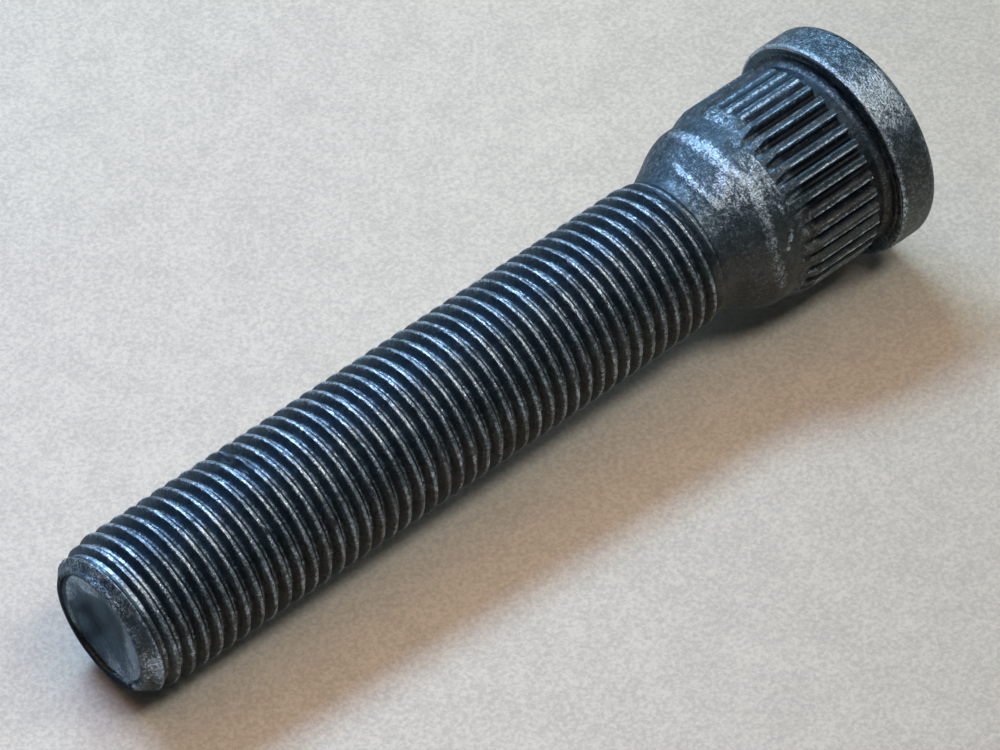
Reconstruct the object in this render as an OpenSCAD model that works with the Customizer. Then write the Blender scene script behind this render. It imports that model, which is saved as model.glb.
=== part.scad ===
// Press-in wheel stud: a flat round head, a short toothed grip that bites into the hub,
// a flared plain shoulder and a long fine thread with a cupped end.
// It stands on its head, with the axis along Z. Millimetres and degrees.

/* [Overall] */
// Length from the seat under the head to the tip
under_head_len = 71.3; // [40:0.1:110]

/* [Head] */
// Diameter of the head
head_d = 18.7; // [17.4:0.1:26]
// Thickness of the head
head_h = 3.8; // [2.5:0.1:7]
// Round on the rim of the outer face
head_rim_r = 0.9; // [0.2:0.05:1.6]
// Small round on the rim of the seat
head_edge_r = 0.3; // [0.1:0.05:0.4]
// Fillet between the seat and the relief
seat_fillet_r = 0.65; // [0.2:0.05:0.75]

/* [Knurl] */
// Diameter over the teeth
knurl_d = 16.7; // [16.2:0.05:17.2]
// Number of teeth round the knurl
knurl_teeth = 36; // [24:1:48]
// Length of the toothed band, lead-in included
knurl_len = 7.85; // [4:0.05:14]
// Length of the sloped lead-in of the teeth
knurl_lead = 1.5; // [0.5:0.05:3]
// Depth of the grooves between the teeth
groove_depth = 0.52; // [0.25:0.01:0.65]
// Width of a groove at the tops of the teeth
groove_w = 0.74; // [0.4:0.01:0.95]
// Width of a groove at its floor
groove_floor_w = 0.24; // [0.1:0.01:0.38]
// How far the plain relief next to the seat lies below the tops of the teeth
relief_drop = 0.6; // [0.55:0.05:1.6]
// Length of that relief
relief_len = 1.55; // [1:0.05:4]

/* [Shoulder] */
// How far the plain shoulder ahead of the knurl lies below the tops of the teeth
shoulder_drop = 0.55; // [0.3:0.05:1.2]
// Length of the shoulder up to the flare's corner
shoulder_len = 1.78; // [1.2:0.02:6]
// Slope of the flare, from the axis
flare_angle = 28.2; // [15:0.1:50]
// Convex round where the shoulder turns into the flare
shoulder_round_r = 3.6; // [0.5:0.1:6]
// Hollow round where the flare runs into the neck
neck_fillet_r = 2.2; // [0.5:0.1:4]
// How far the plain neck behind the thread lies below the crests
neck_drop = 0.39; // [0.1:0.01:0.6]
// Length of the plain neck
neck_len = 1.2; // [0.8:0.05:5]

/* [Thread] */
// Diameter over the thread, slightly worn
thread_d = 12.48; // [10:0.01:14]
// Pitch of the thread
thread_pitch = 1.27; // [1.1:0.01:2]
// Depth of the thread
thread_depth = 0.66; // [0.3:0.01:0.8]
// Width of the flat on a crest
crest_flat = 0.26; // [0.1:0.01:0.34]
// Distance over which the thread fades out towards the neck
runout_len = 2; // [0.5:0.1:5]
// Distance from the tip to the first crest
first_crest = 0.95; // [0.6:0.05:2]

/* [Tip] */
// How far the rim at the tip lies below the crests
rim_drop = 1.29; // [0.8:0.01:1.8]
// Length of the chamfer, from the rim to its rounded shoulder
chamfer_len = 1.45; // [0.6:0.05:3]
// How far that shoulder lies below the crests
chamfer_drop = 0.34; // [0.1:0.01:0.6]
// Further length over which the crests come up to size
crest_lead = 1.5; // [0.5:0.05:4]
// Width of the flat ring round the cup
rim_land = 0.3; // [0.1:0.05:0.8]
// Depth of the cup's short steep wall
cup_wall_h = 0.42; // [0.1:0.02:0.8]
// How far that wall leans in
cup_wall_run = 0.24; // [0.05:0.01:0.6]
// Depth of the cup at its centre
cup_depth = 0.95; // [0.9:0.05:2.5]

/* [Hidden] */

$fn = 48;
STEEL = [0.12, 0.14, 0.17];

// Diameters of the plain bands, from those of the knurl and the thread
relief_d = knurl_d - 2 * relief_drop;
shoulder_d = knurl_d - 2 * shoulder_drop;
neck_d = thread_d - 2 * neck_drop;
chamfer_d = thread_d - 2 * chamfer_drop;
rim_d = thread_d - 2 * rim_drop;

// Heights up the axis
seat_z = head_h;
knurl_z = seat_z + relief_len;
shoulder_z = knurl_z + knurl_len;
flare_z = shoulder_z + shoulder_len;
neck_z = flare_z + (shoulder_d - neck_d) / 2 / tan(flare_angle);
thread_z = neck_z + neck_len;
tip_z = seat_z + under_head_len;

// Crests that fit between the neck and the tip, the last of them nearest the neck
crest_z = tip_z - first_crest;
crests = floor((crest_z - thread_z) / thread_pitch) + 1;
flank_run = thread_depth * tan(30);

// Turns corner b of the path a, b, c into an arc of radius r, no longer than half of either side
function round_corner(a, b, c, r) =
    let (u = (a - b) / norm(a - b), v = (c - b) / norm(c - b), half = acos(u * v) / 2,
         room = 0.49 * min(norm(a - b), norm(c - b)) * tan(half),
         q = min(r, room), centre = b + (u + v) / norm(u + v) * q / sin(half),
         start = b + u * q / tan(half) - centre, first = atan2(start.y, start.x),
         way = cross(u, v) < 0 ? 1 : -1, turn = 180 - 2 * half, steps = ceil(turn / 9))
    [for (i = [0 : steps]) centre + q * [cos(first + way * turn * i / steps),
                                         sin(first + way * turn * i / steps)]];

// A path from points [radius, height, round], its corners rounded where round is above 0
function rounded(path) =
    [for (i = [0 : len(path) - 1])
        let (p = path[i], b = [p.x, p.y])
        each p.z == 0 ? [b] :
            round_corner([path[i - 1].x, path[i - 1].y], b, [path[i + 1].x, path[i + 1].y], p.z)];

// Head, relief, the solid band that the teeth are cut from, shoulder, flare and neck
function blank_path() = rounded([
    [0, 0, 0],
    [head_d / 2, 0, head_rim_r],
    [head_d / 2, seat_z, head_edge_r],
    [relief_d / 2, seat_z, seat_fillet_r],
    [relief_d / 2, knurl_z, 0],
    [knurl_d / 2, knurl_z, 0],
    [knurl_d / 2, shoulder_z - knurl_lead, 0],
    [shoulder_d / 2, shoulder_z, 0],
    [shoulder_d / 2, flare_z, shoulder_round_r],
    [neck_d / 2, neck_z, neck_fillet_r],
    [neck_d / 2, thread_z, 0],
]);

// Radius left by the chamfer at height z: a steep cone at the rim, then a slow rise of the crests
function tip_limit(z) =
    let (down = tip_z - z)
    down < chamfer_len ? rim_d / 2 + down * (chamfer_d - rim_d) / 2 / chamfer_len
        : chamfer_d / 2 + (down - chamfer_len) * (thread_d - chamfer_d) / 2 / crest_lead;

// Radius at height z of a thread that fades into the neck and into the chamfer
function thread_r(full, z) =
    let (share = min(1, (z - thread_z) / runout_len))
    min(neck_d / 2 + share * (full - neck_d / 2), tip_limit(z));

// One ridge: up its lower flank, along the crest and down its upper flank
function ridge(z) =
    let (root = thread_d / 2 - thread_depth, flat = crest_flat / 2, foot = flat + flank_run)
    [for (p = [[root, z - foot], [thread_d / 2, z - flat], [thread_d / 2, z + flat], [root, z + foot]])
        if (p.y > thread_z && p.y < tip_z) [thread_r(p.x, p.y), p.y]];

// The thread's ridges stand as rings at their true pitch and section
function thread_path() =
    [for (i = [crests - 1 : -1 : 0]) each ridge(crest_z - i * thread_pitch)];

// The rim and the shallow cup that rolling leaves in the end
function cup_path() =
    let (lip = rim_d / 2 - rim_land, edge = lip - cup_wall_run, sag = cup_depth - cup_wall_h,
         floor_r = (edge * edge + sag * sag) / (2 * sag), span = asin(edge / floor_r),
         centre_z = tip_z - cup_depth + floor_r, steps = 6)
    concat([[rim_d / 2, tip_z], [lip, tip_z]],
           [for (i = [steps : -1 : 0]) [floor_r * sin(span * i / steps),
                                        centre_z - floor_r * cos(span * i / steps)]]);

// Grooves between the teeth: open towards the relief, running out on the lead-in
module knurl_grooves() {
    over = 0.3;
    floor_r = knurl_d / 2 - groove_depth;
    lean = (groove_w - groove_floor_w) / 2 / groove_depth;
    top_w = groove_w / 2 + over * lean;
    translate([0, 0, knurl_z - over])
        linear_extrude(height = knurl_len + 2 * over)
            for (i = [0 : knurl_teeth - 1])
                rotate(i * 360 / knurl_teeth)
                    polygon([[floor_r, -groove_floor_w / 2], [knurl_d / 2 + over, -top_w],
                             [knurl_d / 2 + over, top_w], [floor_r, groove_floor_w / 2]]);
}

module wheel_stud() {
    color(STEEL)
        difference() {
            rotate_extrude()
                polygon(concat(blank_path(), thread_path(), cup_path()));
            knurl_grooves();
        }
}

wheel_stud();
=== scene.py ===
import math

import bmesh
import bpy
import numpy as np
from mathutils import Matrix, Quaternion, Vector, noise


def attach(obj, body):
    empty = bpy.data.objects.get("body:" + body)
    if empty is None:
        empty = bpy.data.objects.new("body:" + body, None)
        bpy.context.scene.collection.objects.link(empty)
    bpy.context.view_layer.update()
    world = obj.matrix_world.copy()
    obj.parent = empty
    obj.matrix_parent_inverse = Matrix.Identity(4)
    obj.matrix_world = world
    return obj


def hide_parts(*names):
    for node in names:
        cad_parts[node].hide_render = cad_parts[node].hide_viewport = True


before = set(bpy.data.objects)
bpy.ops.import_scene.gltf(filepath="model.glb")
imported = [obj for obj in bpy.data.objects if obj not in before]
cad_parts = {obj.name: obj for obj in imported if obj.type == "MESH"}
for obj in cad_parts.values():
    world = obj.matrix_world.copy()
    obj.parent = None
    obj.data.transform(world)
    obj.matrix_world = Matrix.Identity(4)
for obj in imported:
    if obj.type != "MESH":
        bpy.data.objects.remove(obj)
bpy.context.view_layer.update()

MM = 0.001

# Camera

# Millimetres in the stud's own frame. The camera looks down on the stud from the side of the tip,
# and is turned so that the head points up to the right.
CAMERA_PLACE = Vector((9.61, -328.46, 193.08))
CAMERA_AIM = Vector((-0.68, 0.0, 37.43))
CAMERA_ROLL = -123.68
CAMERA_LENS = 174.55


def place_camera():
    data = bpy.data.cameras.new("camera")
    data.lens = CAMERA_LENS
    data.sensor_width = 36.0
    data.clip_start, data.clip_end = 0.01, 20.0
    camera = bpy.data.objects.new("camera", data)
    bpy.context.collection.objects.link(camera)
    camera.location = CAMERA_PLACE * MM
    camera.rotation_mode = "QUATERNION"
    look = (CAMERA_AIM - CAMERA_PLACE).to_track_quat("-Z", "Y")
    camera.rotation_quaternion = look @ Quaternion((0, 0, 1), math.radians(CAMERA_ROLL))
    bpy.context.scene.camera = camera


place_camera()

# Sizes of the stud, in millimetres

HEAD_R, HEAD_H, HEAD_RIM_ROUND, SEAT_EDGE_ROUND = 9.35, 3.8, 0.9, 0.3
SEAT_RING_R, SEAT_FILLET, RELIEF_R = 8.4, 0.65, 7.75
KNURL_R, KNURL_FOOT, KNURL_BEVEL, KNURL_LEAD_START, KNURL_END = 8.35, 5.35, 0.12, 11.7, 13.2
SHOULDER_R, FLARE_START, NECK_START, NECK_R = 7.8, 14.98, 18.617, 5.85
SHOULDER_ROUND, NECK_ROUND = 3.6, 2.2
THREAD_START, TIP = 19.25, 75.1
CREST_R, ROOT_R, PITCH, RUNOUT = 6.24, 5.5, 1.27, 1.3
FIRST_CREST, FIRST_CREST_TURN = 74.15, -88.25
RIM_R, CHAMFER, CHAMFER_R, CREST_LEAD = 4.95, 1.45, 5.9, 1.5
LIP, CUP_WALL, CUP_WALL_RUN, CUP_DEPTH = 0.3, 0.42, 0.24, 0.95

TEETH = 36
# Across one tooth, from the middle of a groove: the distance round the stud, and the depth below the tops
TOOTH_FORM = [(0.0, 0.6), (0.2, 0.54), (0.41, 0.08), (0.49, -0.03), (0.71, 0.05), (0.96, -0.01),
              (1.037, 0.06), (1.257, 0.54)]
# How far the teeth lean sideways at the end of their lead-in
TOOTH_SKEW = 0.16

THREAD_SIDES = 96
# Half of one ridge: the distance from its crest along the axis, and the height above the root
RIDGE = [(0.0, 0.735), (0.08, 0.74), (0.14, 0.71), (0.185, 0.645), (0.325, 0.4), (0.465, 0.155),
         (0.55, 0.045)]

# Marks of wear

# Lines over the surface, as turns in degrees and heights
THREAD_MOUTH = [(-90, 74.97), (-102, 74.82), (-111, 74.86), (-130, 74.76), (-149, 74.6), (-165, 74.4)]
SHOULDER_RING = [(-10, 15.0), (-31, 15.2), (-50, 15.25), (-66, 15.5), (-76, 15.05), (-83, 14.8),
                 (-102, 15.25), (-130, 15.4), (-153, 15.0)]
FLARE_FOLD = [(-35, 17.25), (-47, 17.6), (-65, 17.7), (-82, 17.55), (-80.5, 17.2), (-76, 16.55),
              (-70.5, 15.95), (-68.5, 15.5)]
BURR = [(-70, 14.15), (-82, 14.2), (-90, 14.05), (-98, 13.8), (-106, 13.65)]
BURR_END = [(-112, 13.2), (-118, 13.6), (-123, 13.95), (-127, 14.3)]

# Dents in the crests, each with its turn, height, size and depth, and the number of small random ones
CREST_DENTS = [(-97, 62.75, 0.45, 0.2), (-108.5, 53.75, 0.45, 0.2), (-115.5, 57.65, 0.35, 0.16),
               (-24, 60.7, 1.0, 0.3), (-47, 60.4, 0.8, 0.25)]
CREST_NICKS, BLANK_DENTS = 150, 220
# The radius over which the dents in head, knurl and shoulder are spread
BLANK_R = 8.3

# Sectors, each from one turn to another in degrees and with the width over which it ends
WORN_TEETH, RUBBED_TEETH, DULL_TEETH = (-50, -27, 5), (-42, -27, 4), (-30, 40, 15)
# On the head, a worn patch on its front is also a painted highlight, and its top gets a painted highlight.
HEAD_HIGHLIGHT_PATCH, HEAD_HIGHLIGHT_HEART, HEAD_TOP_HIGHLIGHT = (-90, -74, 12), (-84, -78, 6), (-35, 10, 15)
# The ring and the shoulder are brighter on their front, and so are patches on the flare and the neck: worn
# metal that is also a painted highlight.
SEAT_TOP, RING_FRONT_HIGHLIGHT, SHOULDER_FRONT_HIGHLIGHT = (-20, 60, 40), (-90, -30, 20), (-90, -72, 10)
FLARE_HIGHLIGHT_PATCH, NECK_FRONT_HIGHLIGHT = (-85, -55, 10), (-92, -45, 10)
# The crests are dimmed on their underside and on part of their front: painted shade.
MOUTH_TOP, CREST_FRONT_SHADE, CREST_UNDERSIDE_SHADE = (-110, 60, 50), (-68, -42, 12), (-172, -122, 25)
# In the cup, a painted highlight on the near side and a painted reflection on the far wall.
CUP_NEAR_HIGHLIGHT, CUP_FAR_WALL_REFLECTION = (-160, -20, 30), (70, 160, 50)
# Towards the paper the stud is made darker, a painted shade, and its coat browner, a painted reflection of
# the shadowed paper.
SHADED_UNDERSIDE, PAINTED_REFLECTION_SIDE = (-178, -112, 25), (-160, -125, 25)


# Modelling tools

def alone(piece):
    bpy.ops.object.select_all(action="DESELECT")
    piece.select_set(True)
    bpy.context.view_layer.objects.active = piece


def edit(piece):
    alone(piece)
    bpy.ops.object.mode_set(mode="EDIT")


def leave():
    bpy.ops.object.mode_set(mode="OBJECT")


def pick_all():
    bpy.ops.mesh.select_all(action="SELECT")


def pick_points(piece, wanted):
    """In edit mode, selects the points for which wanted(x, y, z) in millimetres holds."""
    bpy.ops.mesh.select_mode(type="VERT")
    bpy.ops.mesh.select_all(action="DESELECT")
    mesh = bmesh.from_edit_mesh(piece.data)
    for point in mesh.verts:
        point.select_set(bool(wanted(*(point.co / MM))))
    mesh.select_flush_mode()
    bmesh.update_edit_mesh(piece.data)


def pull(r_from, z_from, path):
    """Extrudes the selected ring through the radii and heights of path."""
    for r, z in path:
        bpy.ops.mesh.extrude_region_move(TRANSFORM_OT_translate={"value": (0, 0, (z - z_from) * MM)})
        bpy.ops.transform.resize(value=(r / r_from, r / r_from, 1), center_override=(0, 0, z * MM))
        r_from, z_from = r, z


def close_to_centre():
    """Extrudes the selected ring and draws it together in its middle."""
    bpy.ops.mesh.extrude_region_move()
    bpy.ops.mesh.merge(type="CENTER")


def cut_off(height, **side):
    pick_all()
    bpy.ops.mesh.bisect(plane_co=(0, 0, height * MM), plane_no=(0, 0, 1), threshold=1e-4 * MM, **side)


def round_between(before, corner, after, radius, steps):
    """The points of an arc that rounds corner, between the points before and after it."""
    b = Vector(corner)
    u, v = (Vector(before) - b).normalized(), (Vector(after) - b).normalized()
    half = u.angle(v) / 2
    centre = b + (u + v).normalized() * (radius / math.sin(half))
    start = b + u * (radius / math.tan(half)) - centre
    turn = (math.pi - 2 * half) * (1 if u.x * v.y - u.y * v.x < 0 else -1)
    return [tuple(centre + Vector((
                start.x * math.cos(turn * i / steps) - start.y * math.sin(turn * i / steps),
                start.x * math.sin(turn * i / steps) + start.y * math.cos(turn * i / steps))))
            for i in range(steps + 1)]


def rows(start, end, count):
    """Points between start and end, without start."""
    return [tuple(Vector(start).lerp(Vector(end), i / count)) for i in range(1, count + 1)]


def places(piece):
    """The points of a piece in millimetres."""
    co = np.empty(len(piece.data.vertices) * 3)
    piece.data.vertices.foreach_get("co", co)
    return co.reshape(-1, 3) / MM


def move(piece, co):
    piece.data.vertices.foreach_set("co", (co * MM).ravel())
    piece.data.update()


def round_stud(co):
    """The radius, the turn in degrees and the height of each point."""
    return np.hypot(co[:, 0], co[:, 1]), np.degrees(np.arctan2(co[:, 1], co[:, 0])), co[:, 2].copy()


def stand(co, r, turn, z):
    """The points at new radii, turns and heights. A point of co that is on the axis stays on it."""
    centre = np.hypot(co[:, 0], co[:, 1]) < 1e-6
    r = np.where(centre, 0, r)
    return np.stack([r * np.cos(np.radians(turn)), r * np.sin(np.radians(turn)), z], -1)


def drift(co, size, seed):
    """A smooth random value from about -1 to 1 at each point. Size is the width of its waves."""
    return np.array([noise.noise(p) for p in (co / size + seed * np.array((31.7, -17.3, 9.1))).tolist()])


def line_gap(r, turn, z, line):
    """How far each point is from a line over the surface, given as turns and heights."""
    gap = np.full(len(z), 1e3)
    for (turn_a, z_a), (turn_b, z_b) in zip(line, line[1:]):
        x, dx = np.radians(turn - turn_a) * r, math.radians(turn_b - turn_a) * r
        y, dy = z - z_a, z_b - z_a
        share = np.clip((x * dx + y * dy) / (dx * dx + dy * dy), 0, 1)
        gap = np.minimum(gap, np.hypot(x - share * dx, y - share * dy))
    return gap


def spot_gap(turn, z, spot_turn, spot_z, radius):
    """How far each point is from a spot on a surface of this radius."""
    return np.hypot(((turn - spot_turn + 180) % 360 - 180) * math.radians(radius), z - spot_z)


def window(value, low, high, edge):
    """1 between low and high, falling to 0 over the width of edge outside them."""
    return np.clip(1 - np.maximum(low - value, value - high) / edge, 0, 1)


# The forged and turned blank

def turn_blank():
    rim = round_between((0, 0), (HEAD_R, 0), (HEAD_R, HEAD_H), HEAD_RIM_ROUND, 8)
    edge = round_between((HEAD_R, 0), (HEAD_R, HEAD_H), (RELIEF_R, HEAD_H), SEAT_EDGE_ROUND, 5)
    fillet = round_between((HEAD_R, HEAD_H), (RELIEF_R, HEAD_H), (RELIEF_R, KNURL_FOOT), SEAT_FILLET, 6)
    shoulder = round_between((SHOULDER_R, KNURL_END), (SHOULDER_R, FLARE_START), (NECK_R, NECK_START),
                             SHOULDER_ROUND, 12)
    neck = round_between((SHOULDER_R, FLARE_START), (NECK_R, NECK_START), (NECK_R, THREAD_START),
                         NECK_ROUND, 6)
    path = rim[1:] + rows(rim[-1], edge[0], 12) + edge[1:] + rows(edge[-1], fillet[0], 3) + fillet[1:]
    path += rows(fillet[-1], (RELIEF_R, KNURL_FOOT), 3)
    path += [(KNURL_R - KNURL_BEVEL, KNURL_FOOT), (KNURL_R - KNURL_BEVEL / 4, KNURL_FOOT + KNURL_BEVEL / 4),
             (KNURL_R, KNURL_FOOT + KNURL_BEVEL)]
    path += rows(path[-1], (KNURL_R, KNURL_LEAD_START), 14)
    path += rows(path[-1], (SHOULDER_R, KNURL_END), 10)
    path += rows(path[-1], shoulder[0], 8) + shoulder[1:] + rows(shoulder[-1], neck[0], 14) + neck[1:]
    path += [(NECK_R, THREAD_START - 0.04)]

    r, z = rim[0]
    bpy.ops.object.select_all(action="DESELECT")
    bpy.ops.mesh.primitive_circle_add(vertices=TEETH * len(TOOTH_FORM), radius=r * MM, fill_type="NOTHING",
                                      location=(0, 0, z * MM))
    blank = bpy.context.object
    bpy.ops.object.transform_apply(location=True, rotation=True, scale=True)
    edit(blank)
    pick_all()
    pull(r, z, path)
    pick_points(blank, lambda x, y, z: z < 0.001)
    pull(r, z, [(6.5, 0), (4.0, 0), (1.5, 0)])
    close_to_centre()
    leave()
    return blank


def cut_teeth(blank):
    """Presses the grooves into the toothed band. They run out on the sloped lead-in."""
    co = places(blank)
    r, turn, z = round_stud(co)
    corners = len(TOOTH_FORM)
    tooth, corner = np.divmod(np.rint((turn + 90) * TEETH * corners / 360).astype(int), corners)
    across, depth = np.array(TOOTH_FORM)[corner].T
    skew = TOOTH_SKEW * np.clip((z - KNURL_LEAD_START + 0.5) / 2, 0, 1) ** 2
    turn = -90 + tooth * 360 / TEETH + np.degrees((across - skew) / KNURL_R)
    worn = window(turn, *WORN_TEETH)
    lower = np.random.default_rng(7).uniform(0, 0.05, TEETH)[tooth % TEETH]
    depth = (depth + lower * (depth < 0.1)) * (1 - 0.75 * worn) + 0.1 * worn
    band = (z > KNURL_FOOT - 0.001) & (z < KNURL_END - 0.001) & (r > RELIEF_R + 0.02)
    r = np.where(band, np.minimum(r - np.minimum(depth, 0), KNURL_R - depth), r)
    move(blank, stand(co, r, turn, z))


def burrs(r, turn, z):
    """1 on the burrs at the ends of the grooves, and 0 off them."""
    return np.clip(1.3 - np.minimum(line_gap(r, turn, z, BURR), line_gap(r, turn, z, BURR_END)) / 0.2, 0, 1)


def wear_blank(blank):
    """Small waves of the forged skin, the ring on the shoulder, a fold on the flare, burrs and dents."""
    co = places(blank)
    r, turn, z = round_stud(co)
    face = z < 0.02
    fine, coarse = drift(co, 0.7, 11), drift(co, 2.2, 12)
    tops = (z > KNURL_FOOT) & (z < KNURL_END) & (r > KNURL_R - 0.15)
    skin = np.where(z < HEAD_H - 0.02, 0.4, np.where(z > KNURL_END - 0.1, 1.0, 0.5 * tops))
    r += skin * (0.018 * fine + 0.025 * coarse) * ~face

    shoulder = z > KNURL_END - 0.3
    r += shoulder * 0.05 * np.clip(1 - line_gap(r, turn, z, SHOULDER_RING) / 0.42, 0, 1) * (1 + 0.8 * fine)
    fold = np.clip(1 - line_gap(r, turn, z, FLARE_FOLD) / 0.3, 0, 1)
    r += shoulder * fold * (0.09 + 0.06 * fine)
    dots = np.clip(drift(co, 0.22, 13) * 3 + 0.4, 0, 1)
    r += shoulder * burrs(r, turn, z) * dots * 0.08
    r += window(z, KNURL_END - 0.05, KNURL_END + 0.1, 0.15) * 0.05 * np.clip(fine + 0.4, 0, 1)

    dice = np.random.default_rng(9)
    for _ in range(BLANK_DENTS):
        dent_turn, dent_z = dice.uniform(-180, 180), dice.uniform(0.8, NECK_START)
        size, depth = dice.uniform(0.15, 0.4), dice.uniform(0.02, 0.06)
        near = spot_gap(turn, z, dent_turn, dent_z, BLANK_R) / size
        hit = (near < 1) & (r > 7.0) & ~face & (np.abs(z - HEAD_H) > 0.01)
        r[hit] -= depth * (1 - near[hit] ** 2)
    move(blank, stand(co, r, turn, z))


# The rolled thread

def along_thread(turn, z):
    """How far each point is along the axis from the first crest, which runs round the stud as a helix."""
    return z - FIRST_CREST - (turn - FIRST_CREST_TURN) / 360 * PITCH


def tip_cone(z):
    """The radius that the chamfer leaves at height z."""
    down = TIP - z
    rise = 1 - (1 - np.clip(down / CHAMFER, 0, 1)) ** 1.5
    return np.where(down < CHAMFER, RIM_R + rise * (CHAMFER_R - RIM_R),
                    np.minimum(CREST_R, CHAMFER_R + (down - CHAMFER) * (CREST_R - CHAMFER_R) / CREST_LEAD))


def roll_thread():
    """A screw of the ridge's outline, cut off at the neck and at the tip."""
    ridge = [(-a, h) for a, h in reversed(RIDGE[1:])] + RIDGE + [(PITCH / 2, 0.0)]
    turns = math.ceil((TIP - THREAD_START) / PITCH) + 2
    lowest = FIRST_CREST - FIRST_CREST_TURN / 360 * PITCH - PITCH / 2
    lowest -= PITCH * math.ceil((lowest - THREAD_START) / PITCH + 1)
    bpy.ops.object.select_all(action="DESELECT")
    bpy.ops.mesh.primitive_plane_add(size=PITCH * MM, location=(ROOT_R * MM, 0, lowest * MM))
    thread = bpy.context.object
    bpy.ops.object.transform_apply(location=True, rotation=True, scale=True)
    edit(thread)
    pick_all()
    bpy.ops.mesh.merge(type="CENTER")
    along, height = -PITCH / 2, 0.0
    for a, h in ridge:
        bpy.ops.mesh.extrude_region_move(
            TRANSFORM_OT_translate={"value": ((h - height) * MM, 0, (a - along) * MM)})
        along, height = a, h
    leave()

    screw = thread.modifiers.new("roll", "SCREW")
    screw.axis = "Z"
    screw.angle = math.tau
    screw.screw_offset = PITCH * MM
    screw.iterations = turns
    screw.steps = screw.render_steps = THREAD_SIDES
    alone(thread)
    bpy.ops.object.modifier_apply(modifier="roll")
    edit(thread)
    pick_all()
    bpy.ops.mesh.remove_doubles(threshold=0.002 * MM)
    cut_off(THREAD_START, clear_inner=True)
    cut_off(TIP, clear_outer=True)
    leave()
    return thread


def fade_thread(thread):
    """The thread fades into the neck, and its first turns are lower where they were rolled on the chamfer."""
    co = places(thread)
    r, turn, z = round_stud(co)
    off_crest = (along_thread(turn, z) + PITCH / 2) % PITCH - PITCH / 2
    r = np.maximum(r - (CREST_R - tip_cone(z - off_crest)), ROOT_R)
    r = np.minimum(NECK_R + np.clip((z - THREAD_START) / RUNOUT, 0, 1) * (r - NECK_R), tip_cone(z))
    move(thread, stand(co, r, turn, z))


def wear_thread(thread):
    """The crests are a little uneven and nicked, the chamfer is rough and its groove starts raggedly."""
    co = places(thread)
    r, turn, z = round_stud(co)
    rim = TIP - z < 0.001
    crest = np.clip((r - ROOT_R) / (tip_cone(z) - ROOT_R + 0.01) * 4 - 3, 0, 1) * (TIP - z > 0.6)
    r -= crest * (0.012 + 0.05 * np.clip(drift(co, 0.8, 1), 0, 1) + 0.03 * drift(co, 4.0, 2))
    z += crest * 0.03 * drift(co, 1.3, 3)
    r += 0.008 * drift(co, 0.5, 4) * ~rim

    dice = np.random.default_rng(4)
    nicks = list(CREST_DENTS)
    for _ in range(CREST_NICKS):
        nicks.append((dice.uniform(-180, 180), dice.uniform(THREAD_START + 2, TIP - 1.5),
                      dice.uniform(0.2, 0.4), dice.uniform(0.05, 0.12)))
    for nick_turn, nick_z, size, depth in nicks:
        near = spot_gap(turn, z, nick_turn, nick_z, CREST_R) / size
        hit = (near < 1) & (r > CREST_R - 0.35)
        r[hit] -= depth * (1 - near[hit] ** 2)
        z[hit] -= 0.3 * depth

    first = along_thread(turn, z)
    hump = 0.07 + 0.1 * window(turn, *MOUTH_TOP)
    r += (hump * np.exp(-(first / 0.16) ** 2) - 0.08 * np.exp(-((first - 0.45) / 0.16) ** 2)) * ~rim
    chamfer = np.clip((z - TIP + CHAMFER + 0.1) / 0.3, 0, 1) * ~rim
    r -= chamfer * 0.05 * np.clip(drift(co, 0.45, 5), -0.4, 1)
    width = 0.2 + 0.1 * drift(co, 0.6, 6)
    r -= 0.16 * np.clip(1.2 - line_gap(r, turn, z, THREAD_MOUTH) / width, 0, 1) * ~rim
    r[rim] += 0.03 * drift(co[rim], 0.9, 7)
    move(thread, stand(co, r, turn, z))


def form_end(thread):
    """The rim and the cup that rolling leaves in the end."""
    lip = RIM_R - LIP
    edge = lip - CUP_WALL_RUN
    sag = CUP_DEPTH - CUP_WALL
    ball = (edge * edge + sag * sag) / (2 * sag)
    floor = [(edge * k, TIP - CUP_DEPTH + ball - math.sqrt(ball * ball - (edge * k) ** 2))
             for k in (0.97, 0.9, 0.8, 0.66, 0.5, 0.34, 0.17)]
    path = [(RIM_R - 0.06, TIP), (lip + 0.05, TIP), (lip - 0.02, TIP - 0.04), (lip - 0.1, TIP - 0.18),
            (edge + 0.03, TIP - CUP_WALL + 0.06), (edge - 0.04, TIP - CUP_WALL - 0.01)]
    edit(thread)
    pick_points(thread, lambda x, y, z: z > TIP - 0.0005)
    pull(RIM_R, TIP, path + floor)
    close_to_centre()
    leave()


# The whole stud

def make_stud():
    blank = turn_blank()
    thread = roll_thread()
    fade_thread(thread)
    wear_thread(thread)
    form_end(thread)
    cut_teeth(blank)
    wear_blank(blank)
    alone(blank)
    thread.select_set(True)
    bpy.ops.object.join()
    stud = bpy.context.object
    edit(stud)
    bpy.ops.mesh.select_mode(type="EDGE")
    bpy.ops.mesh.select_all(action="DESELECT")
    bpy.ops.mesh.select_non_manifold(use_wire=False, use_multi_face=False, use_non_contiguous=False,
                                     use_verts=False)
    bpy.ops.mesh.bridge_edge_loops()
    pick_all()
    bpy.ops.mesh.normals_make_consistent(inside=False)
    leave()
    stud.name = stud.data.name = "forged_stud"
    return stud


# Where it is rubbed bright, and where highlights, shade and a reflection are painted

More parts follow.
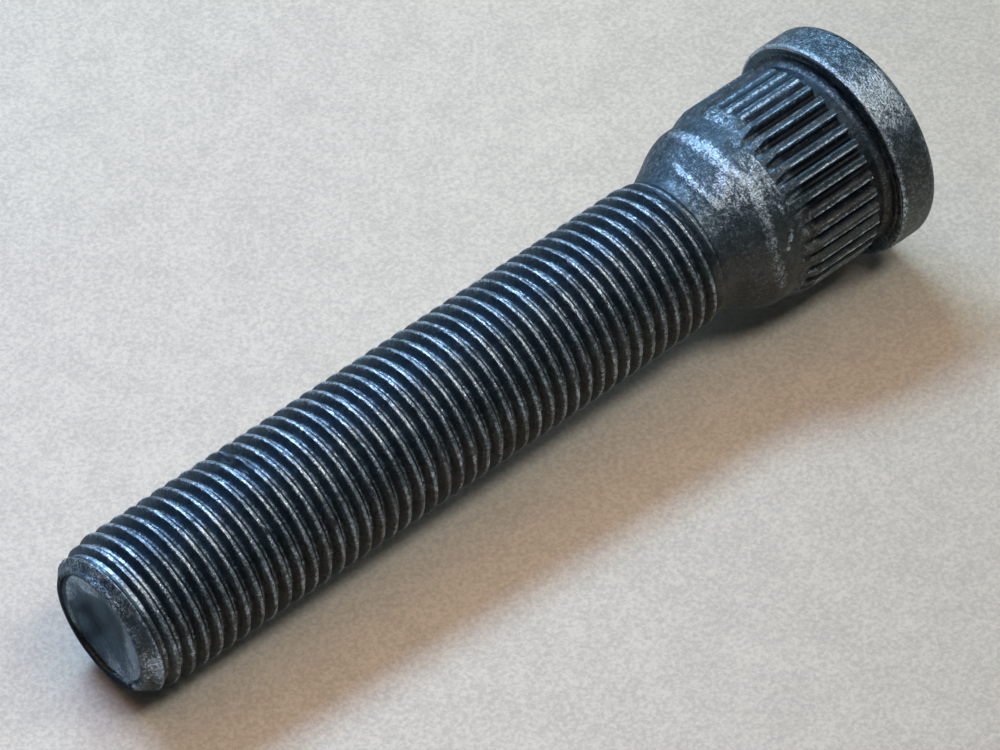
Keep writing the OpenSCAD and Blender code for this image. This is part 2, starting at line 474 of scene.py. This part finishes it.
def rub_head(turn, z, below):
    """The side of the head, bright at its edges, in a worn patch on its front that is also a painted
    highlight, and with a painted highlight along its top; darker on its underside, a painted shade.
    """
    side = np.interp(z, [0, 0.3, 0.9, 3.35, 3.6], [0.45, 0.45, 0.2, 0.25, 0.95])
    # The worn front patch is also a painted highlight, and the top gets a painted highlight.
    patch = 0.65 * window(turn, *HEAD_HIGHLIGHT_PATCH) + 0.5 * window(turn, *HEAD_HIGHLIGHT_HEART)
    patch = patch + 0.15 * window(turn, *HEAD_TOP_HIGHLIGHT)
    return (side + patch * window(z, 0, 3.3, 0.2)) * (1 - 0.4 * below)


def rub_teeth(r, turn, z):
    """The teeth, bright along their edges, and the grooves, which keep their oil and are darkened further as
    painted shade.
    """
    pitch = math.tau * KNURL_R / TEETH
    across = (np.radians(turn + 90) * KNURL_R + 0.02 + pitch / 2) % pitch - pitch / 2
    lips = 0.75 * window(across, 0.45, 0.51, 0.07) + 0.3 * window(across, -0.52, -0.47, 0.06)
    lips = lips * (1 - 0.7 * window(turn, *DULL_TEETH))
    # The grooves are nearly black: oil, and painted shade.
    teeth = np.where(r > KNURL_R - 0.2, -0.12 + 1.35 * lips, -0.6)
    teeth = np.where(z > KNURL_LEAD_START, 0.15, teeth)
    return teeth + 0.3 * window(turn, *RUBBED_TEETH) * (r > KNURL_R - 0.4)


def rub_shoulder(r, turn, z, fine, coarse, below):
    """Shoulder, flare and neck, bright on the ring, the fold and the burrs and in a few patches. The ring and
    the patches on the front are worn metal that is also a painted highlight, and the underside is darker, a
    painted shade.
    """
    ring = np.clip(1.1 - line_gap(r, turn, z, SHOULDER_RING) / 0.65, 0, 1)
    # Brighter on the front: the worn ring also carries a painted highlight.
    ring = ring * (0.4 + 0.7 * window(turn, *RING_FRONT_HIGHLIGHT))
    fold = np.clip(1.2 - line_gap(r, turn, z, FLARE_FOLD) / 0.26, 0, 1)
    burr = burrs(r, turn, z) * np.clip(0.5 + 3 * fine, 0, 1)
    # The flare's front patch is worn metal that is also a painted highlight.
    patch = window(turn, *FLARE_HIGHLIGHT_PATCH) * window(z, 15.3, 17.3, 0.4) * (0.35 + 0.6 * coarse)
    plain = np.interp(z, [13.0, 14.6, 17.6, 18.6], [0.2, 0.14, 0.2, 0.06]) * (1 - 0.6 * below)
    # The shoulder and the neck are brighter on their front: painted highlight.
    plain = plain + 0.35 * window(turn, *SHOULDER_FRONT_HIGHLIGHT) * window(z, 13.1, 14.3, 0.2)
    plain = plain + 0.15 * window(turn, *NECK_FRONT_HIGHLIGHT) * window(z, 18.3, 19.3, 0.3)
    return np.maximum.reduce([plain, ring, fold, 0.9 * burr, patch])


def rub_thread(r, turn, z, coarse):
    """The crests, a fine line along the root that is a painted highlight, the fading last turn and the
    chamfer. The crests are dimmed on their underside and on part of their front, a painted shade.
    """
    high = (r - ROOT_R) / np.maximum(tip_cone(z) - ROOT_R, 0.2)
    first = along_thread(turn, z)
    root_gap = np.abs((first + PITCH) % PITCH - PITCH / 2)
    # Dimmed on part of the front: painted shade.
    crest = np.clip(high * 5 - 4, 0, 1) * (0.8 + 0.4 * coarse) * (1 - 0.2 * window(turn, *CREST_FRONT_SHADE))
    # A bright line along the root: painted highlight.
    crest = crest + 0.75 * np.clip(1 - high * 6, 0, 1) * window(root_gap, 0, 0.1, 0.08)
    last = (window(z, THREAD_START + 0.3, THREAD_START + RUNOUT, 0.2)
            * window(root_gap, PITCH / 2 - 0.1, 1, 0.08))
    crest = np.maximum(crest, 0.8 * last)
    # Dimmed on the underside: painted shade.
    crest = crest * (tip_cone(z) > ROOT_R + 0.2) * (1 - 0.45 * window(turn, *CREST_UNDERSIDE_SHADE))
    cone = window(z, TIP - CHAMFER + 0.4, TIP + 1, 0.3) * (r > RIM_R - 0.1) * (0.28 + 0.3 * coarse)
    cone = np.maximum(cone, 0.8 * window(first, -0.05, 0.05, 0.08))
    return np.maximum(crest, cone)


def rub_cup(co, r, turn, coarse):
    """The floor of the cup, brighter towards both sides as a painted reflection and with a painted highlight
    on its near side, and its short wall, with a painted reflection on its far side.
    """
    # The floor's brightness across it is a painted reflection, and its near side gets a painted highlight.
    floor = np.interp(co[:, 0], [-4.5, -3, -1.5, 0, 2, 3, 4.5], [0.65, 0.45, 0.15, -0.3, -0.3, 0.4, 0.7])
    floor = floor + 0.4 * coarse + 0.8 * window(r, 2.6, 4.4, 0.8) * window(turn, *CUP_NEAR_HIGHLIGHT)
    # The far wall's brightness is a painted reflection.
    wall = -0.2 + 0.65 * window(turn, *CUP_FAR_WALL_REFLECTION)
    return np.where(r > RIM_R - LIP - CUP_WALL_RUN - 0.02, wall, floor)


def rub(stud):
    """Stores how much each point is rubbed bright, how smooth it is and where the coat gets a warm painted
    reflection.
    The first value also carries painted highlights and painted shade. At 1 it is bare metal. Below 0 the coat
    is nearly whole, and the lower the value, the darker it is: darker oil, and painted shade in the grooves."""
    co = places(stud)
    r, turn, z = round_stud(co)
    fine, coarse = drift(co, 0.5, 21), drift(co, 1.8, 22)
    # Towards the paper the stud is made darker: painted shade.
    below = window(turn, *SHADED_UNDERSIDE)
    seat = (z < HEAD_H + 0.1) & (r > SEAT_RING_R)
    bands = [(z < HEAD_H - 0.001, rub_head(turn, z, below)),
             (seat, 0.45 - 0.4 * window(turn, *SEAT_TOP)),
             # The relief is dark; the band on its fillet is a painted highlight.
             (z < KNURL_FOOT, -0.33 + 0.5 * window(z, 3.95, 4.3, 0.1)),
             (z < KNURL_END - 0.1, rub_teeth(r, turn, z)),
             (z < THREAD_START, rub_shoulder(r, turn, z, fine, coarse, below))]
    wear_and_painted_light = np.select([band for band, _ in bands], [value for _, value in bands],
                       rub_thread(r, turn, z, coarse))
    wear_and_painted_light = wear_and_painted_light * (1 + 0.5 * fine + 0.3 * coarse)
    far_lip = (z > TIP - 0.1) & (r > RIM_R - LIP - 0.03) & (np.abs(turn - 90) < 80)
    wear_and_painted_light = np.where(far_lip, -0.5, wear_and_painted_light)
    cup = (r < RIM_R - LIP - 0.03) & (z > TIP - 2)
    wear_and_painted_light = np.where(cup, rub_cup(co, r, turn, coarse), wear_and_painted_light)
    smooth = np.where(cup, 1.0, 0.3 * window(z, THREAD_START, TIP - 1.2, 0.2))
    smooth = np.where((z > HEAD_H - 0.05) & seat, 0.8, smooth)
    # Towards the paper the coat is tinted warm: a painted reflection of the shadowed paper.
    painted_warm_reflection = window(turn, *PAINTED_REFLECTION_SIDE)
    for name, value in (("wear_and_painted_light", wear_and_painted_light), ("smooth", smooth), ("painted_warm_reflection", painted_warm_reflection)):
        layer = stud.data.attributes.new(name, "FLOAT", "POINT")
        layer.data.foreach_set("value", value.astype(np.float32))


stud = make_stud()
rub(stud)
alone(stud)
bpy.ops.object.shade_smooth_by_angle(angle=math.radians(32))

# Finishes


class Wire:
    """A socket that can be used in sums and products. Each of them adds a Math node."""

    def __init__(self, finish, socket):
        self.finish, self.socket = finish, socket

    def sum_node(self, operation, first, second):
        return self.finish.node("ShaderNodeMath", {"operation": operation}, {0: first, 1: second})

    def __add__(self, other):
        return self.sum_node("ADD", self, other)

    def __radd__(self, other):
        return self.sum_node("ADD", other, self)

    def __sub__(self, other):
        return self.sum_node("SUBTRACT", self, other)

    def __rsub__(self, other):
        return self.sum_node("SUBTRACT", other, self)

    def __mul__(self, other):
        return self.sum_node("MULTIPLY", self, other)

    def __rmul__(self, other):
        return self.sum_node("MULTIPLY", other, self)


class Finish:
    """A material and the nodes that make it."""

    def __init__(self, name):
        self.material = bpy.data.materials.new(name)
        self.material.use_nodes = True
        self.tree = self.material.node_tree
        self.shader = self.tree.nodes["Principled BSDF"]
        self.where = self.node("ShaderNodeTexCoord", output="Object")

    def feed(self, socket, value):
        if isinstance(value, Wire):
            self.tree.links.new(value.socket, socket)
        else:
            socket.default_value = value

    def node(self, kind, settings=None, inputs=None, output=0):
        made = self.tree.nodes.new(kind)
        for name, value in (settings or {}).items():
            setattr(made, name, value)
        for name, value in (inputs or {}).items():
            self.feed(made.inputs[name], value)
        return Wire(self, made.outputs[output])

    def scaled(self, factors):
        """Object coordinates times factors, so that 1 is a millimetre over the factor."""
        return self.node("ShaderNodeVectorMath", {"operation": "MULTIPLY"},
                         {0: self.where, 1: [k / MM for k in factors]})

    def grain(self, per_mm, detail=2.0, roughness=0.5, stretch=(1, 1, 1)):
        return self.node("ShaderNodeTexNoise", {},
                         {"Vector": self.scaled(stretch), "Scale": per_mm, "Detail": detail,
                          "Roughness": roughness}, "Fac")

    def step(self, value, low, high):
        """0 below low, 1 above high, and smooth between them."""
        return self.node("ShaderNodeMapRange", {"interpolation_type": "SMOOTHSTEP", "clamp": True},
                         {"Value": value, "From Min": low, "From Max": high})

    def mix(self, share, first, second):
        made = self.tree.nodes.new("ShaderNodeMix")
        made.data_type = "RGBA"
        for socket, value in ((made.inputs[0], share), (made.inputs[6], first), (made.inputs[7], second)):
            self.feed(socket, value)
        return Wire(self, made.outputs[2])

    def attribute(self, name):
        return self.node("ShaderNodeAttribute", {"attribute_name": name}, output="Fac")

    def set(self, **values):
        for name, value in values.items():
            self.feed(self.shader.inputs[name.replace("_", " ")], value)


def oiled_steel():
    """A dark oiled coat that is rubbed through to bare metal, with specks of dust. The stored values also
    paint highlights, shade and a warm reflection into its colour.
    """
    finish = Finish("oiled_dark_steel")
    wear_and_painted_light, rough = finish.attribute("wear_and_painted_light"), 1.0 - 0.75 * finish.attribute("smooth")
    fine = finish.grain(6.5, 2.0, 0.6)
    spots = finish.grain(2.8, 3.0, 0.65)
    coarse = finish.grain(0.9, 3.0, 0.6)
    marks = finish.grain(1.1, 3.0, 0.65, stretch=(1, 1, 9))
    speckle = (fine - 0.5) * 1.8 + (spots - 0.5) * 1.8 + (coarse - 0.5) * 0.6 + (marks - 0.5) * 0.8
    bare = finish.step(wear_and_painted_light + speckle * rough * (0.35 + wear_and_painted_light * 0.7), 0.08, 0.92)
    glint = finish.step(fine * 0.6 + spots * 0.4, 0.38, 0.64)
    tone, painted_warm_reflection = finish.step(spots * 0.5 + coarse * 0.5, 0.38, 0.62), finish.attribute("painted_warm_reflection")
    # The coat's warm copy is a painted reflection of the shadowed paper.
    coat = finish.mix(painted_warm_reflection, finish.mix(tone, (0.046, 0.072, 0.098, 1), (0.073, 0.114, 0.15, 1)),
                      finish.mix(tone, (0.055, 0.062, 0.064, 1), (0.085, 0.098, 0.099, 1)))
    # Below 0 the coat darkens towards black: darker oil, and painted shade in the grooves.
    oily = finish.mix(finish.step(wear_and_painted_light, -0.6, 0.0), (0.012, 0.018, 0.027, 1), coat)
    metal = finish.mix(glint, (0.2, 0.26, 0.325, 1), (0.58, 0.73, 0.88, 1))
    dust = finish.step(finish.grain(7.0, 0.0, stretch=(1, 1, 1.3)), 0.75, 0.83) * (0.1 + 0.5 * rough)
    finish.set(Base_Color=finish.mix(dust, finish.mix(bare, oily, metal), (0.24, 0.3, 0.34, 1)),
               Metallic=1.0 - dust,
               Roughness=0.48 - bare * (0.04 + glint * 0.12) - finish.attribute("smooth") * 0.14,
               Specular_Tint=(0.5, 0.54, 0.56, 1), Coat_Weight=0.15, Coat_Roughness=0.4)
    bump = finish.node("ShaderNodeBump", {}, {"Strength": 0.8, "Distance": 0.12 * MM,
                                              "Height": (fine * 0.7 + spots + marks * 0.6) * rough}, "Normal")
    finish.set(Normal=bump)
    return finish.material


stud.data.materials.clear()
stud.data.materials.append(oiled_steel())
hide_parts("wheel_stud")
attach(stud, "root")

# Paper and light

# The stud lies with its head's rim and its thread on the paper. These are the turn that faces the paper
# and the height at which the head touches it.
PAPER_TURN, TOUCH_Z = 127.4, 2.5
PAPER_SIZE = 560.0
# From where to where the paper gets darker, a painted shade for light that falls off, in millimetres to the
# right of the stud's origin
PAPER_SHADE_START, PAPER_SHADE_END = -30.0, 17.0

STUD_MIDDLE = (0, 0, 37.5)
# The lamps stand round this point and aim at it
LAMP_CENTRE = (0, 0, 40)


def lay_paper():
    lean = math.atan2(HEAD_R - CREST_R, FIRST_CREST - TOUCH_Z)
    turn = math.radians(PAPER_TURN)
    down = Vector((math.cos(turn), math.sin(turn), 0)) * math.cos(lean) + Vector((0, 0, 1)) * math.sin(lean)
    touch = Vector((math.cos(turn) * HEAD_R, math.sin(turn) * HEAD_R, TOUCH_Z))
    bpy.ops.object.select_all(action="DESELECT")
    bpy.ops.mesh.primitive_plane_add(size=PAPER_SIZE * MM)
    paper = bpy.context.object
    paper.name = "paper"
    paper.rotation_mode = "QUATERNION"
    paper.rotation_quaternion = (-down).to_track_quat("Z", "Y")
    middle = Vector(STUD_MIDDLE)
    paper.location = (middle + down * (touch - middle).dot(down)) * MM
    bpy.ops.object.transform_apply(location=True, rotation=True, scale=True)
    return paper


def paper_look():
    """Pale paper that is seen from its front only, with a painted shade that makes it a little darker on the
    right of the picture.
    """
    finish = Finish("pale_paper")
    tone = finish.grain(0.3, 3.0, 0.6) * 0.2 + finish.grain(2.6, 4.0, 0.75) * 0.8
    tone = finish.step(tone, 0.35, 0.65)
    right = bpy.context.scene.camera.rotation_quaternion @ Vector((1, 0, 0))
    along = finish.node("ShaderNodeVectorMath", {"operation": "DOT_PRODUCT"},
                        {0: finish.scaled((1, 1, 1)), 1: right}, "Value")
    # The darker copy of the paper's colours is painted shade.
    finish.set(Base_Color=finish.mix(finish.step(along, PAPER_SHADE_START, PAPER_SHADE_END),
                                     finish.mix(tone, (0.565, 0.508, 0.443, 1), (0.757, 0.688, 0.593, 1)),
                                     finish.mix(tone, (0.478, 0.434, 0.376, 1), (0.648, 0.588, 0.503, 1))),
               Roughness=0.9)
    clear = finish.node("ShaderNodeBsdfTransparent")
    behind = finish.node("ShaderNodeNewGeometry", output="Backfacing")
    both = finish.node("ShaderNodeMixShader", {},
                       {0: behind, 1: Wire(finish, finish.shader.outputs[0]), 2: clear})
    finish.feed(finish.tree.nodes["Material Output"].inputs["Surface"], both)
    return finish.material


def add_lamp(name, turn, rise, distance, size, power, colour, aim=LAMP_CENTRE, spread=180, height=None):
    """A soft box at turn degrees round the stud and rise degrees above its middle."""
    data = bpy.data.lights.new(name, "AREA")
    data.shape = "RECTANGLE"
    data.size, data.size_y = size * MM, (height or size) * MM
    data.energy, data.color, data.spread = power, colour, math.radians(spread)
    lamp = bpy.data.objects.new(name, data)
    bpy.context.collection.objects.link(lamp)
    t, e = math.radians(turn), math.radians(rise)
    away = Vector((math.cos(t) * math.cos(e), math.sin(t) * math.cos(e), math.sin(e)))
    place = Vector(LAMP_CENTRE) + away * distance
    lamp.location = place * MM
    lamp.rotation_mode = "QUATERNION"
    lamp.rotation_quaternion = (place - Vector(aim)).to_track_quat("Z", "Y")


def light_studio():
    """The lamps, a faint warm light all round, and a pale ground behind the paper for the camera alone."""
    add_lamp("window_light", -14, -10, 420, 80, 1.14, (0.465, 0.82, 1.0), height=230)
    add_lamp("window_edge_light", -14, 0, 420, 100, 0.155, (0.49, 0.58, 1.0), aim=(0, 0, 150), spread=70)
    add_lamp("side_light", 20, 5, 450, 350, 0.22, (0.74, 0.86, 1.0))
    add_lamp("ceiling_light", -48, 0, 460, 440, 0.7, (1.0, 0.62, 0.4))
    add_lamp("front_light", -76, -16, 500, 100, 0.9, (1.0, 0.98, 0.9), height=360)
    add_lamp("back_light", 58, -5, 450, 260, 0.8, (0.8, 0.9, 1.0))
    add_lamp("low_back_light", 186, -5, 450, 260, 0.12, (1.0, 0.55, 0.25))
    add_lamp("under_light", 127, -50, 450, 300, 1.5, (1.0, 0.85, 0.65))
    world = bpy.data.worlds.new("studio")
    world.use_nodes = True
    nodes, links = world.node_tree.nodes, world.node_tree.links
    nodes["Background"].inputs["Color"].default_value = (1.0, 0.9, 0.8, 1)
    nodes["Background"].inputs["Strength"].default_value = 0.012
    pale = nodes.new("ShaderNodeBackground")
    pale.inputs["Color"].default_value = (0.66, 0.64, 0.61, 1)
    seen, both = nodes.new("ShaderNodeLightPath"), nodes.new("ShaderNodeMixShader")
    links.new(seen.outputs["Is Camera Ray"], both.inputs[0])
    links.new(nodes["Background"].outputs[0], both.inputs[1])
    links.new(pale.outputs[0], both.inputs[2])
    links.new(both.outputs[0], nodes["World Output"].inputs["Surface"])
    bpy.context.scene.world = world
    bpy.context.scene.view_settings.view_transform = "Standard"


paper = lay_paper()
paper.data.materials.append(paper_look())
paper.visible_shadow = False
light_studio()
